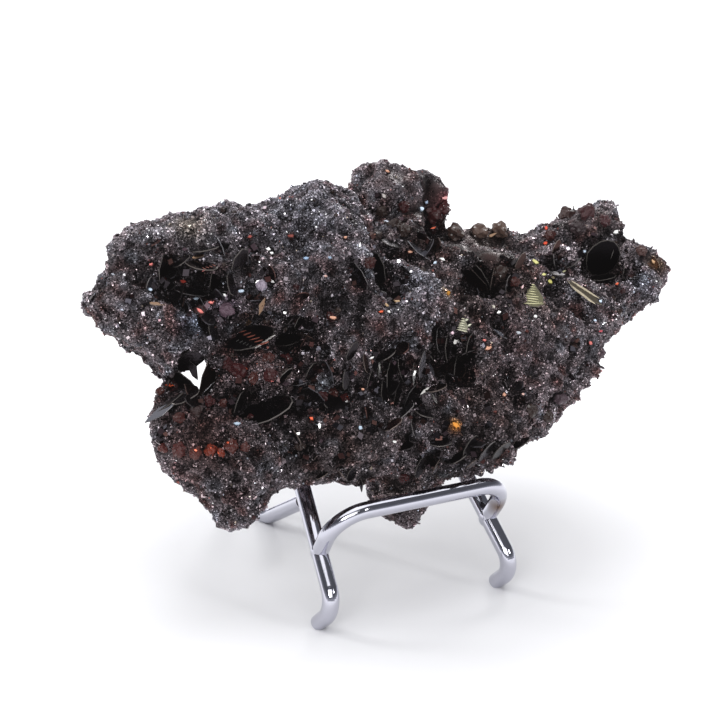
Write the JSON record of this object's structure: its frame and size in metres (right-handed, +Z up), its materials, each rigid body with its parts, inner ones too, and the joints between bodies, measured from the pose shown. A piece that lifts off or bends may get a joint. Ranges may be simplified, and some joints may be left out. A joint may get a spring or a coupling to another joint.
{
  "type": "hematite mineral specimen on a wire display stand",
  "caption": "Dark, glittering hematite crystal cluster with platy crystals in its hollows, leaning back on a small bent-wire display stand.",
  "frame": {"origin": "middle of the underside of the whole object's box, on the surface that the stand's feet rest on", "axes": "+Z up, -Y towards the side that the specimen's face looks to, +X to the right along the specimen's length"},
  "size_m": [0.144, 0.0772, 0.0851],
  "materials": {
    "hematite": "glittering crystal crust with a metallic to sub-metallic lustre",
    "chromed_wire": "polished chrome plate on bent steel wire"
  },
  "bodies": {
    "root": {"hematite_specimen": "hematite", "stand_back_frame": "chromed_wire", "stand_front_lip": "chromed_wire", "stand_rear_leg": "chromed_wire"}
  },
  "joints": []
}
